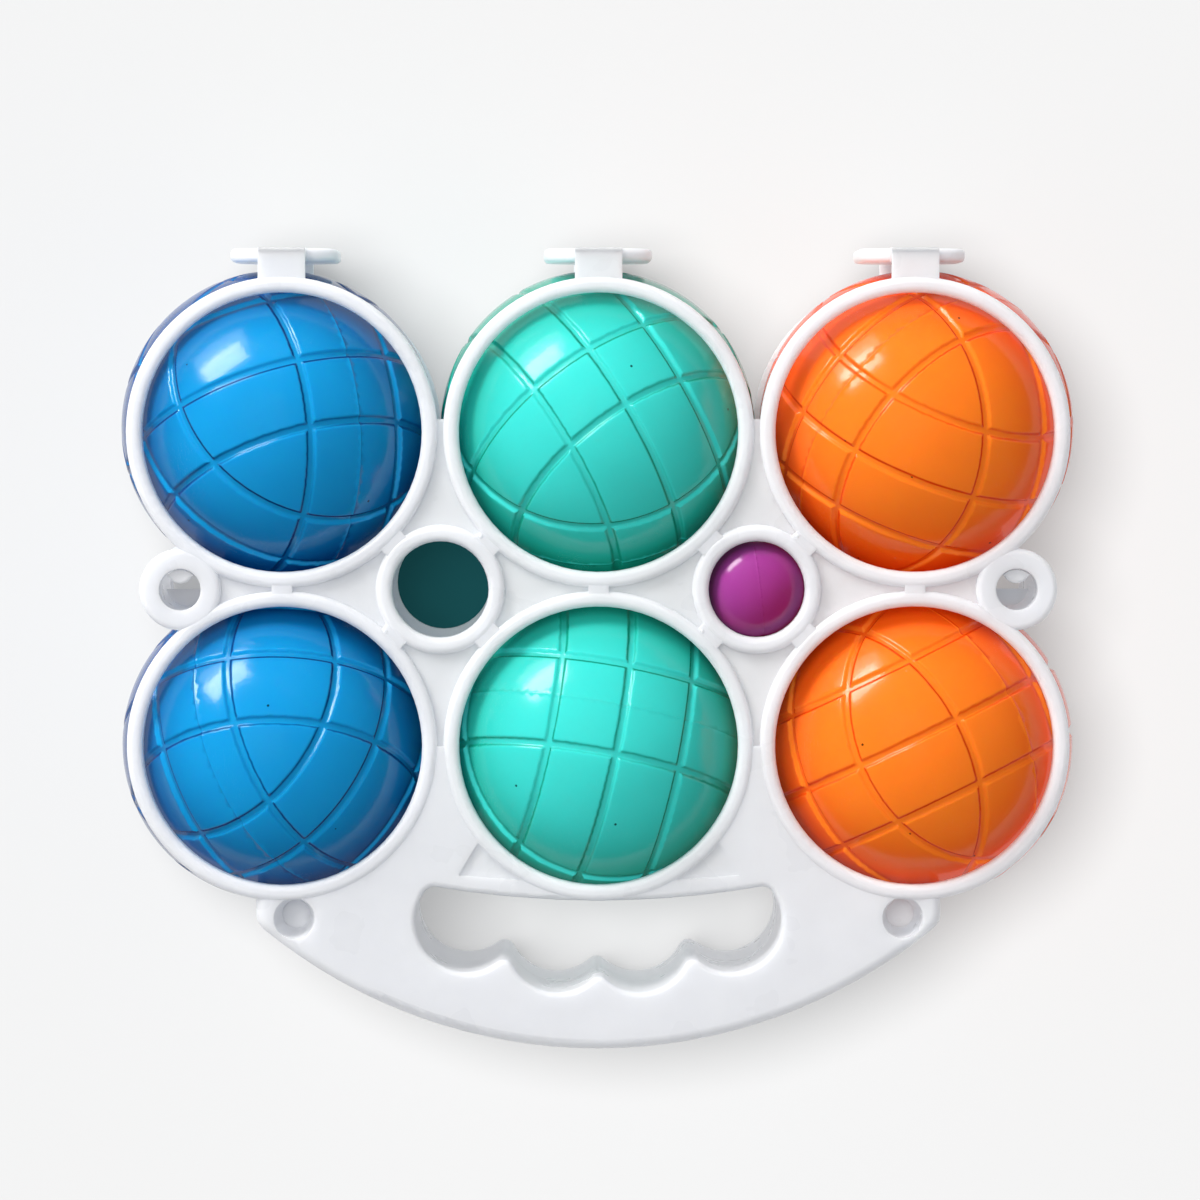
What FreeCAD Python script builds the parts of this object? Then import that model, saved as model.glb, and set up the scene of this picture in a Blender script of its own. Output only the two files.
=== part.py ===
import FreeCAD, Part
import math
import os

# Bocce ball set: six balls and a jack held between the two halves of a hinged carrier.
# The carrier lies flat. +Z points from the back shell to the front shell, +Y from the handle
# to the feet and +X to the right. Everything is built about the carrier's middle plane, with
# the jack holes on the X axis, and moved once at the end, so that the set lies on Z = 0.

# How far a cutter runs past what it cuts, in millimetres like every size here
cut_past = 1.0

# Balls
ball_r = 37.5
ball_wall = 3.0
ball_gap_x = 1.1
ball_gap_y = 0.5
filling_gap = 0.2
jack_r = 15.0

# Filler plug of a ball
plug_shank_r = 3.0
plug_head_r = 4.6
plug_head_depth = 1.6
plug_inside = 2.0
plug_fit = 0.1
plug_below_skin = 0.15
plug_tilt = (0.35, -0.25, -0.9)
socket_start_share = 0.5

# Rings of the carrier
ring_lap = 4.7
ring_width = 3.7
ring_inset = 1.8
ball_fit = 0.4
web_thickness = 1.8
bead_rise = 2.1
bead_round = 1.5
bead_root = 1.0
web_below_rings = 1.0
notch_above_centre = 3.1
ring_bridge_width = 4.8
ring_bridge_lap = 3.35
ring_bridge_drop = 0.3
jack_bridge_width = 6.4
pip_r = 0.6
pip_sink = 0.2
pip_places = ((9.4, 12.5), (-12.9, -9.8))

# Jack holes
jack_lap = 3.7
jack_bead_width = 3.9
jack_fit = 0.3
jack_gap = 0.4

# Ears with their latches
ear_reach = 23.9
ear_r = 9.6
ear_hole_r = 4.9
ear_tube_wall = 1.0
ear_wall_least = 0.8
ear_round = 1.4
ear_flare_step = 1.0
ear_flare_height = 7.0
ear_root = 0.5
arm_inset = 1.0
latch_shelf_edge = -0.8
latch_shelf_thickness = 1.5
tongue_width = 6.0
tongue_thickness = 1.5
tongue_fit = 0.35
tongue_nose = 1.7
tongue_nose_height = 3.4
tongue_below_face = 1.2
tongue_root_above_web = 0.4
tongue_crown_round = 0.8
tongue_seat_ledge = 0.6

# Handle
handle_length = 71.55
handle_arc_r = 124.0
handle_half_width = 80.6
handle_corner_r = 4.5
handle_wall = 2.0
handle_edge_round = 2.4
plate_below_bead = 0.6
shell_gap = 0.3
relief_fit = 0.35

# Finger grip
finger_r = 12.0
finger_pitch = 21.5
finger_inner_x = 9.6
finger_inner_drop = 46.05
finger_outer_drop = 41.25
grip_top_drop = 36.45
grip_top_r = 226.5
grip_infill_share = 0.7
finger_peak_round = 2.5
finger_peak_round_inside = 1.5
grip_corner_round = 3.0
grip_edge_round = 1.3

# Blind recesses in the lower corners
recess_x = 71.6
recess_drop = 40.55
recess_r = 4.85
recess_floor_r = 3.3
recess_depth = 12.0
recess_wall = 1.1

# Small sunk triangles beside the lower middle ring
pocket_depth = 0.8
pocket_side_x = 33.0
pocket_top_x = 28.4
pocket_tip_x = 13.7
pocket_base_drop = 30.45
pocket_top_drop = 22.8
pocket_tip_drop = 31.9

# Foot plates and their living hinges
foot_width = 25.6
foot_thickness = 3.2
foot_half_height = 17.0
foot_corner_r = 9.0
foot_edge_round = 1.1
foot_gap = 1.75
tab_width = 11.1
tab_thickness = 2.0
tab_below_bead = 1.0
tab_root = 0.6
film_r = 0.5
film_fit = 0.05
mitre_gap = 0.3
film_side_gap = 0.1

# Worked out from the driving dimensions. The rows of balls stand further apart where the jack
# needs more room between them, and the ears further out where their tubes need more wall.
ball_pitch_x = 2.0 * ball_r + ball_gap_x
ring_pitch_x = ball_pitch_x - ring_inset
jack_x = ring_pitch_x / 2.0
jack_room_y = math.sqrt((ball_r + jack_r + jack_gap) ** 2 - jack_x ** 2)
ball_pitch_y = max(2.0 * ball_r + ball_gap_y, 2.0 * jack_room_y)
ring_pitch_y = ball_pitch_y - ring_inset
ring_y = ring_pitch_y / 2.0
ring_hole_r = ball_r - ring_lap
ring_outer_r = ring_hole_r + ring_width
ball_shift = math.hypot(ball_pitch_x - ring_pitch_x, (ball_pitch_y - ring_pitch_y) / 2.0)
web_inner_z = math.sqrt((ball_r + ball_fit) ** 2 - (ring_hole_r - ball_shift) ** 2)
web_top_z = web_inner_z + web_thickness
bead_top_z = web_top_z + bead_rise
plate_top_z = bead_top_z - plate_below_bead
jack_hole_r = jack_r - jack_lap
jack_z = web_inner_z - math.sqrt((jack_r + jack_fit) ** 2 - jack_hole_r ** 2)
ear_room = ball_r + relief_fit + ear_hole_r + ear_wall_least
ear_room_x = math.sqrt(max(0.0, ear_room ** 2 - (ball_pitch_y / 2.0) ** 2))
ear_x = max(ring_pitch_x + ear_reach, ball_pitch_x + ear_room_x)
ear_tube_r = ear_hole_r + ear_tube_wall
mid_z = shell_gap / 2.0
handle_bottom_y = -ring_y - handle_length
handle_arc_y = handle_bottom_y + handle_arc_r
hinge_z = bead_top_z - tab_below_bead - film_r
foot_inner_y = ball_pitch_y / 2.0 + ball_r + foot_gap
foot_outer_y = foot_inner_y + foot_thickness
hinge_y = foot_outer_y - film_r
foot_x = ring_pitch_x
shift_y = -(foot_outer_y + handle_bottom_y) / 2.0

COLUMNS = (("blue", -1), ("teal", 0), ("orange", 1))
ROWS = (("upper", 1), ("lower", -1))
FEET = (("left", -1), ("middle", 0), ("right", 1))
SIDES = (("left", -1), ("right", 1))
RING_PLACES = [(side * ring_pitch_x, row * ring_y) for _, side in COLUMNS for _, row in ROWS]
BALL_PLACES = [
    (side * ball_pitch_x, row * ball_pitch_y / 2.0) for _, side in COLUMNS for _, row in ROWS
]


def vec(x, y, z):
    return FreeCAD.Vector(x, y, z)


def box(x0, x1, y0, y1, z0, z1):
    """Box between two corners."""
    return Part.makeBox(x1 - x0, y1 - y0, z1 - z0, vec(x0, y0, z0))


def rod(x, y, r, z0, z1):
    """Upright cylinder."""
    return Part.makeCylinder(r, z1 - z0, vec(x, y, z0), vec(0, 0, 1))


def prism(points, z0, z1):
    """Upright prism on a closed outline of straight sides."""
    corners = [vec(x, y, z0) for x, y in points]
    face = Part.Face(Part.makePolygon(corners + [corners[0]]))
    return face.extrude(vec(0, 0, z1 - z0))


def fuse_all(shapes):
    """Union of a list of solids, with the seams between them removed."""
    union = shapes[0]
    for shape in shapes[1:]:
        union = union.fuse(shape)
    return union.removeSplitter()


def mirror_z(shape):
    """The same shape on the other side of the carrier's middle plane."""
    return shape.mirror(vec(0, 0, 0), vec(0, 0, 1))


def upright_edges(shape, wanted):
    """Upright straight edges whose x, y place satisfies wanted."""
    found = []
    for edge in shape.Edges:
        ends = [v.Point for v in edge.Vertexes]
        if len(ends) != 2:
            continue
        flat = math.hypot(ends[0].x - ends[1].x, ends[0].y - ends[1].y)
        if flat < 1e-6 and wanted(ends[0].x, ends[0].y):
            found.append(edge)
    return found


def level_edges(shape, z, wanted):
    """Edges that lie at height z and whose middle satisfies wanted."""
    found = []
    for edge in shape.Edges:
        middle = edge.valueAt((edge.FirstParameter + edge.LastParameter) / 2.0)
        flat = all(abs(v.Z - z) < 1e-5 for v in edge.Vertexes) and abs(middle.z - z) < 1e-5
        if flat and wanted(middle.x, middle.y):
            found.append(edge)
    return found


def bead_ring(x, y, inner_r, width):
    """Raised ring with a rounded crown, on the web's level."""
    outer_r = inner_r + width
    turn = bead_round * (1.0 - math.sqrt(0.5))
    low = vec(inner_r, 0, web_inner_z)
    inner_side = vec(inner_r, 0, bead_top_z - bead_round)
    inner_mid = vec(inner_r + turn, 0, bead_top_z - turn)
    inner_top = vec(inner_r + bead_round, 0, bead_top_z)
    outer_top = vec(outer_r - bead_round, 0, bead_top_z)
    outer_mid = vec(outer_r - turn, 0, bead_top_z - turn)
    outer_side = vec(outer_r, 0, bead_top_z - bead_round)
    foot = vec(outer_r, 0, web_inner_z)
    edges = [
        Part.makeLine(low, inner_side),
        Part.Arc(inner_side, inner_mid, inner_top).toShape(),
        Part.makeLine(inner_top, outer_top),
        Part.Arc(outer_top, outer_mid, outer_side).toShape(),
        Part.makeLine(outer_side, foot),
        Part.makeLine(foot, low),
    ]
    ring = Part.Face(Part.Wire(edges)).revolve(vec(0, 0, 0), vec(0, 0, 1), 360)
    ring.translate(vec(x, y, 0))
    return ring


def in_grip(x, y):
    """Whether a place lies on the finger grip's outline."""
    reach = finger_inner_x + finger_pitch + finger_r + cut_past
    low = -ring_y - finger_inner_drop - finger_r - cut_past
    return abs(x) < reach and low < y < -ring_y - finger_outer_drop + finger_r


def handle_block(inset, top_y, z0, z1):
    """Solid of the handle's outline, drawn in by inset, from top_y down to its curved end."""
    half = handle_half_width - inset
    block = box(-half, half, handle_bottom_y - cut_past, top_y, z0, z1)
    block = block.common(rod(0, handle_arc_y, handle_arc_r - inset, z0, z1))
    corners = upright_edges(block, lambda x, y: y < top_y - handle_corner_r)
    return block.makeFillet(handle_corner_r - inset, corners)


def grip_prism(grow, peak_round, z0, z1):
    """Finger grip: four finger rounds under a shallow arc, made larger by grow."""
    inner_y = -ring_y - finger_inner_drop
    outer_y = -ring_y - finger_outer_drop
    outer_x = finger_inner_x + finger_pitch
    top_y = -ring_y - grip_top_drop
    places = [(-outer_x, outer_y), (-finger_inner_x, inner_y), (finger_inner_x, inner_y), (outer_x, outer_y)]
    solids = [rod(x, y, finger_r + grow, z0, z1) for x, y in places]
    infill_y = outer_y + grip_infill_share * finger_r
    above = [(outer_x, infill_y), (-outer_x, infill_y)]
    solids.append(prism(places + above, z0, z1))
    grip = fuse_all(solids)
    grip = grip.cut(rod(0, top_y + grip_top_r, grip_top_r - grow, z0 - cut_past, z1 + cut_past))
    peaks = upright_edges(grip, lambda x, y: abs(x) < outer_x and y < outer_y)
    grip = grip.makeFillet(peak_round, peaks)
    corners = upright_edges(grip, lambda x, y: abs(x) > outer_x and y > outer_y)
    return grip.makeFillet(grip_corner_round, corners)


def handle():
    """Half of the hollow handle: face plate, outer skirt and the skirt round the finger grip."""
    block = handle_block(0.0, -ring_y, mid_z, plate_top_z)
    rim = level_edges(block, plate_top_z, lambda x, y: y < -ring_y - cut_past)
    block = block.makeFillet(handle_edge_round, rim)
    block = block.cut(grip_prism(0.0, finger_peak_round, mid_z - cut_past, bead_top_z))
    grip_rim = level_edges(block, plate_top_z, in_grip)
    block = block.makeFillet(grip_edge_round, grip_rim)
    low = mid_z - cut_past
    cavity = handle_block(handle_wall, 0.0, low, web_inner_z)
    core = grip_prism(handle_wall, finger_peak_round_inside, low - cut_past, web_inner_z + cut_past)
    return block.cut(cavity.cut(core))


def corner_recess(side):
    """Cup and cutter of the blind recess in one lower corner."""
    y = -ring_y - recess_drop
    floor_z = plate_top_z - recess_depth
    base = vec(side * recess_x, y, floor_z - recess_wall)
    cup = Part.makeCone(
        recess_floor_r + recess_wall, recess_r + recess_wall, recess_depth, base, vec(0, 0, 1)
    )
    mouth = vec(side * recess_x, y, floor_z)
    hollow = Part.makeCone(recess_floor_r, recess_r, recess_depth, mouth, vec(0, 0, 1))
    return cup, hollow


def ear(side):
    """Ear boss with its tube down to the middle plane."""
    x = side * ear_x
    boss = rod(x, 0, ear_r, web_inner_z, bead_top_z)
    boss = boss.makeFillet(ear_round, level_edges(boss, bead_top_z, lambda px, py: True))
    flare_base = vec(x, 0, web_inner_z - ear_flare_height)
    flare = Part.makeCone(ear_tube_r, ear_r - ear_flare_step, ear_flare_height, flare_base, vec(0, 0, 1))
    return fuse_all([boss, flare, rod(x, 0, ear_tube_r, mid_z, web_inner_z)])


def pocket(side):
    """Sunk triangle beside the lower middle ring."""
    points = [
        (side * pocket_side_x, -ring_y - pocket_base_drop),
        (side * pocket_top_x, -ring_y - pocket_top_drop),
        (side * pocket_tip_x, -ring_y - pocket_tip_drop),
    ]
    cutter = prism(points, plate_top_z - pocket_depth, bead_top_z)
    return cutter.cut(rod(0, -ring_y, ring_outer_r, web_inner_z, bead_top_z + cut_past))


def hinge_tab(x):
    """Tab from a ring to its foot plate, mitred at the living hinge."""
    outer = hinge_z + film_r
    inner = outer - tab_thickness
    drop = hinge_z - inner
    start = ring_y + ring_hole_r + tab_root
    points = [
        (start, outer),
        (hinge_y - film_side_gap, outer),
        (hinge_y - film_side_gap, hinge_z),
        (hinge_y - mitre_gap, hinge_z),
        (hinge_y - mitre_gap - drop, inner),
        (start, inner),
    ]
    corners = [vec(x - tab_width / 2.0, y, z) for y, z in points]
    face = Part.Face(Part.makePolygon(corners + [corners[0]]))
    tab = face.extrude(vec(tab_width, 0, 0))
    return tab.cut(film(x, tab_width + 2.0 * cut_past, film_r + film_fit))


def film(x, width, r):
    """Hinge film of one foot plate on the front shell's side, as a round bead."""
    return Part.makeCylinder(r, width, vec(x - width / 2.0, hinge_y, hinge_z), vec(1, 0, 0))


def ring_bridges():
    """Low ribs that join each jack ring and each pair of ball rings across their narrow gaps."""
    length = 2.0 * (ring_y - ring_outer_r) + ring_bridge_lap
    places = [(side * ring_pitch_x, 0.0, 90.0, length, ring_bridge_width) for _, side in COLUMNS]
    diagonal = math.hypot(jack_x, ring_y)
    jack_ring_r = jack_hole_r + jack_bead_width
    middle = (jack_ring_r + diagonal - ring_outer_r) / 2.0 / diagonal
    length = diagonal - jack_ring_r - ring_outer_r + ring_bridge_lap
    for _, side in SIDES:
        for across, up in ((1, 1), (-1, 1), (-1, -1), (1, -1)):
            turn = math.degrees(math.atan2(up * ring_y, across * jack_x))
            x = side * jack_x + middle * across * jack_x
            places.append((x, middle * up * ring_y, turn, length, jack_bridge_width))
    ribs = []
    for x, y, turn, length, width in places:
        half = length / 2.0
        half_width = width / 2.0
        rib = box(-half, half, -half_width, half_width, web_inner_z, bead_top_z - ring_bridge_drop)
        rib.rotate(vec(0, 0, 0), vec(0, 0, 1), turn)
        rib.translate(vec(x, y, 0))
        ribs.append(rib)
    return ribs


def pips():
    """Small raised moulding marks beside each jack ring."""
    top = bead_top_z - ring_bridge_drop - pip_sink
    places = [(side * jack_x + x, y) for _, side in SIDES for x, y in pip_places]
    return [Part.makeSphere(pip_r, vec(x, y, top)) for x, y in places]


def clear_of_balls(shape):
    """The shape with room for the balls cut out of it."""
    for x, y in BALL_PLACES:
        shape = shape.cut(Part.makeSphere(ball_r + relief_fit, vec(x, y, 0)))
    return shape


def shell():
    """Half of the carrier on the front side, with everything that both halves share."""
    hole_low = mid_z - cut_past
    hole_top = bead_top_z + cut_past
    web_low_y = -ring_y - web_below_rings
    web_high_y = ring_y + notch_above_centre
    web = box(-ring_pitch_x, ring_pitch_x, web_low_y, web_high_y, web_inner_z, web_top_z)
    arm_half = ear_r - arm_inset
    arms = box(-ear_x, ear_x, -arm_half, arm_half, web_inner_z, web_top_z)
    base = fuse_all([handle(), web, arms] + [corner_recess(side)[0] for _, side in SIDES])
    for x, y in RING_PLACES:
        base = base.cut(rod(x, y, ring_hole_r + bead_root, hole_low, hole_top))
    extras = [bead_ring(x, y, ring_hole_r, ring_width) for x, y in RING_PLACES]
    for _, side in SIDES:
        base = base.cut(rod(side * jack_x, 0, jack_hole_r + bead_root, hole_low, hole_top))
        extras.append(bead_ring(side * jack_x, 0, jack_hole_r, jack_bead_width))
        extras.append(ear(side))
    extras.extend(ring_bridges())
    extras.extend(pips())
    extras.extend(hinge_tab(side * foot_x) for _, side in FEET)
    body = fuse_all([base] + extras)
    for _, side in SIDES:
        body = body.cut(corner_recess(side)[1])
        body = body.cut(pocket(side))
        body = body.cut(rod(side * ear_x, 0, ear_hole_r, hole_low, hole_top))
    return clear_of_balls(body)


def latch_shelf(side):
    """Half-moon shelf across the lower part of an ear tube, at the middle plane."""
    x = side * ear_x
    shelf = rod(x, 0, ear_hole_r + ear_root, -mid_z - latch_shelf_thickness, -mid_z)
    cover = box(x - ear_r, x + ear_r, -ear_r, latch_shelf_edge, -ear_r, ear_r)
    return shelf.common(cover)


def latch_seat(side):
    """Ledge at the back of an ear tube that the latch tongue grows from."""
    x = side * ear_x
    ledge = rod(x, 0, ear_hole_r + ear_root, -web_top_z, -web_inner_z)
    low_y = ear_hole_r - tongue_fit - tongue_thickness - tongue_seat_ledge
    return ledge.common(box(x - ear_r, x + ear_r, low_y, ear_r, -bead_top_z, bead_top_z))


def latch_tongue(side):
    """Springy tongue with a rounded nose, from the back ear up into the front ear."""
    x = side * ear_x
    low = -web_inner_z + tongue_root_above_web
    high = bead_top_z - tongue_below_face
    room_r = ear_hole_r - tongue_fit
    blade_y = room_r - tongue_thickness
    half = tongue_width / 2.0
    blade = box(x - half, x + half, blade_y, room_r, low, high)
    nose = rod(x, blade_y + half - tongue_nose, half, high - tongue_nose_height, high)
    tongue = blade.fuse(nose).common(rod(x, 0, room_r, low, high)).removeSplitter()
    crown = level_edges(tongue, high, lambda px, py: py < blade_y)
    return tongue.makeFillet(tongue_crown_round, crown)


def foot_plate(x):
    """Link plate that joins both shells and is also a foot, rounded, with a neck at each end."""
    half = foot_width / 2.0
    pad = Part.makeBox(
        foot_width, foot_thickness, 2.0 * foot_half_height, vec(x - half, foot_inner_y, -foot_half_height)
    )
    corners = []
    for edge in pad.Edges:
        ends = [v.Point for v in edge.Vertexes]
        if abs(ends[0].x - ends[1].x) < 1e-6 and abs(ends[0].z - ends[1].z) < 1e-6:
            corners.append(edge)
    pad = pad.makeFillet(foot_corner_r, corners)
    rim = []
    for edge in pad.Edges:
        middle = edge.valueAt((edge.FirstParameter + edge.LastParameter) / 2.0)
        if min(abs(middle.y - foot_inner_y), abs(middle.y - foot_outer_y)) < 1e-6:
            rim.append(edge)
    pad = pad.makeFillet(foot_edge_round, rim)
    neck_half = tab_width / 2.0
    neck = box(x - neck_half, x + neck_half, foot_inner_y, foot_outer_y, -hinge_z - film_r, hinge_z + film_r)
    plate = pad.fuse(neck).removeSplitter()
    reach = foot_thickness - film_r
    beyond = hinge_z + film_r + cut_past
    points = [
        (hinge_y + film_r + cut_past, beyond),
        (hinge_y + film_r + cut_past, hinge_z - film_side_gap),
        (hinge_y, hinge_z - film_side_gap),
        (hinge_y, hinge_z - mitre_gap),
        (hinge_y - reach - cut_past, hinge_z - mitre_gap - reach - cut_past),
        (hinge_y - reach - cut_past, beyond),
    ]
    outline = [vec(x - foot_width, y, z) for y, z in points]
    mitre = Part.Face(Part.makePolygon(outline + [outline[0]])).extrude(vec(2.0 * foot_width, 0, 0))
    bore = film(x, foot_width, film_r)
    for cutter in (mitre, bore, mirror_z(mitre), mirror_z(bore)):
        plate = plate.cut(cutter)
    return plate


def plug_cutter(x, y, shank_r, head_r, inner_r, outer_r, head_depth):
    """Stepped plug shape on a ball's plug axis, between two radii from the ball's centre."""
    axis = vec(*plug_tilt).normalize()
    centre = vec(x, y, 0)
    shank = Part.makeCylinder(shank_r, outer_r - inner_r, centre + axis * inner_r, axis)
    head_low = ball_r - head_depth
    head = Part.makeCylinder(head_r, outer_r - head_low, centre + axis * head_low, axis)
    return shank.fuse(head)


def ball(x, y):
    """Shell, filling and filler plug of one ball."""
    centre = vec(x, y, 0)
    inner_r = ball_r - ball_wall
    socket = plug_cutter(
        x, y, plug_shank_r + plug_fit, plug_head_r + plug_fit, socket_start_share * inner_r,
        ball_r + cut_past, plug_head_depth + plug_fit
    )
    skin = Part.makeSphere(ball_r, centre).cut(Part.makeSphere(inner_r, centre)).cut(socket)
    plug_low = inner_r - plug_inside
    plug = plug_cutter(x, y, plug_shank_r, plug_head_r, plug_low, ball_r + cut_past, plug_head_depth)
    plug = plug.common(Part.makeSphere(ball_r - plug_below_skin, centre)).removeSplitter()
    axis = vec(*plug_tilt).normalize()
    room_low = plug_low - 2.0 * filling_gap
    room_r = plug_shank_r + 2.0 * filling_gap
    room = Part.makeCylinder(room_r, ball_r - room_low, centre + axis * room_low, axis)
    filling = Part.makeSphere(inner_r - filling_gap, centre).cut(room)
    return skin, filling, plug


def build():
    """All sub-parts by name, about the carrier's middle plane."""
    parts = {}
    half = shell()
    parts["front_shell"] = half
    back = mirror_z(half)
    additions = [latch_shelf(side) for _, side in SIDES] + [latch_seat(side) for _, side in SIDES]
    parts["back_shell"] = fuse_all([back] + [clear_of_balls(shape) for shape in additions])
    for name, side in FEET:
        parts["foot_" + name] = foot_plate(side * foot_x)
    films = [film(side * foot_x, tab_width, film_r) for _, side in FEET]
    parts["hinge_films_front"] = Part.makeCompound(films)
    parts["hinge_films_back"] = Part.makeCompound([mirror_z(bead) for bead in films])
    for name, side in SIDES:
        parts["latch_tongue_" + name] = latch_tongue(side)
    for colour, side in COLUMNS:
        for row_name, row in ROWS:
            stem = colour + "_ball_" + row_name
            skin, filling, plug = ball(side * ball_pitch_x, row * ball_pitch_y / 2.0)
            parts[stem + "_shell"] = skin
            parts[stem + "_filling"] = filling
            parts[stem + "_plug"] = plug
    parts["jack"] = Part.makeSphere(jack_r, vec(jack_x, 0, jack_z))
    return parts


os.makedirs("parts", exist_ok=True)
for name, shape in build().items():
    shape.translate(vec(0, shift_y, ball_r))
    shape.exportStep("parts/" + name + ".step")
    print(name, len(shape.Solids), round(shape.Volume, 1), shape.isValid())
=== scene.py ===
"""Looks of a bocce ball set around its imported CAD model.

The set is six grooved balls and a small jack between the two shells of a hinged white carrier.
The CAD nodes keep their shapes and places. The balls and the jack are modelled again here with
their grooves, parting lines and filler recesses, and every piece gets a moulded plastic finish.
"""

import logging
import math
from dataclasses import dataclass, field
from enum import Enum
from typing import ClassVar

import bpy
import numpy as np
from mathutils import Euler, Matrix, Vector


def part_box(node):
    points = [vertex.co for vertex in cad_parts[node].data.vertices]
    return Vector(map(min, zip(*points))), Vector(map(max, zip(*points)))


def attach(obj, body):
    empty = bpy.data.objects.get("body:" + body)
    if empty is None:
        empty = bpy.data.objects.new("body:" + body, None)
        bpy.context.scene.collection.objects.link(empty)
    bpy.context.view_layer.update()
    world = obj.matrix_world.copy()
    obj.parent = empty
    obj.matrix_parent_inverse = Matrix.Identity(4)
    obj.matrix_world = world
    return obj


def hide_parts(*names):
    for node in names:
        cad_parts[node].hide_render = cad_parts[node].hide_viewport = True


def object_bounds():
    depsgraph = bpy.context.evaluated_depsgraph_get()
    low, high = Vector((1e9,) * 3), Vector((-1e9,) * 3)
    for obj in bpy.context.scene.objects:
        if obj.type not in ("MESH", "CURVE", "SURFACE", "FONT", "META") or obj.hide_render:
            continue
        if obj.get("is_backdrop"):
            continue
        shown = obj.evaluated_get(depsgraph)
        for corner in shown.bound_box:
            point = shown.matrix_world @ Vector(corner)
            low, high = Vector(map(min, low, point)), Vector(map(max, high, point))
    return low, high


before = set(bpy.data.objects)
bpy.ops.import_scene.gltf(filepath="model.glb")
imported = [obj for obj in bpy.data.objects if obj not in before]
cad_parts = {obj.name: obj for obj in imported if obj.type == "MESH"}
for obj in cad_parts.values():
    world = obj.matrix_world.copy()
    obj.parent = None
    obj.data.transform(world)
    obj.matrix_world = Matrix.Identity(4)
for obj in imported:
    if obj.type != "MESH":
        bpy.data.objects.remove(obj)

LOG = logging.getLogger("bocce_set")
MM = 0.001
BALL_LEVELS = 6
Socket = bpy.types.NodeSocket
Colour = tuple[float, float, float]


def ease(share: np.ndarray) -> np.ndarray:
    """Round off both ends of a rise from 0 to 1.

    Args:
        share: Values from 0 to 1.

    Returns:
        The eased values.
    """
    return share * share * (3.0 - 2.0 * share)


def latitude(unit: np.ndarray, axis: Vector) -> np.ndarray:
    """Latitude of some directions over the plane square to an axis.

    Args:
        unit: Unit directions, one a row.
        axis: The unit axis.

    Returns:
        The latitudes in radians.
    """
    return np.arcsin(np.clip(unit @ np.array(axis), -1.0, 1.0))


def angle_from(unit: np.ndarray, axis: Vector) -> np.ndarray:
    """Angle between some directions and an axis.

    Args:
        unit: Unit directions, one a row.
        axis: The unit axis.

    Returns:
        The angles in radians.
    """
    return np.arccos(np.clip(unit @ np.array(axis), -1.0, 1.0))


class PlasticTone(Enum):
    """Linear base colours of the moulded plastics, with the darker tones of painted rim shade blended
    into their turned-away rims.
    """

    CARRIER_WHITE = (0.705, 0.715, 0.745)
    # The tone after each ball colour is painted rim shade: a darker colour standing in for shade and
    # coloured bounce light on the turned-away rim.
    BLUE = (0.007, 0.285, 0.620)
    BLUE_RIM_SHADE = (0.0, 0.012, 0.140)
    TEAL = (0.048, 0.640, 0.580)
    TEAL_RIM_SHADE = (0.0, 0.250, 0.150)
    ORANGE = (0.960, 0.203, 0.016)
    ORANGE_RIM_SHADE = (0.780, 0.040, 0.0)
    PURPLE = (0.310, 0.044, 0.250)
    PURPLE_RIM_SHADE = (0.260, 0.008, 0.070)
    WATER = (0.55, 0.72, 0.80)


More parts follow.
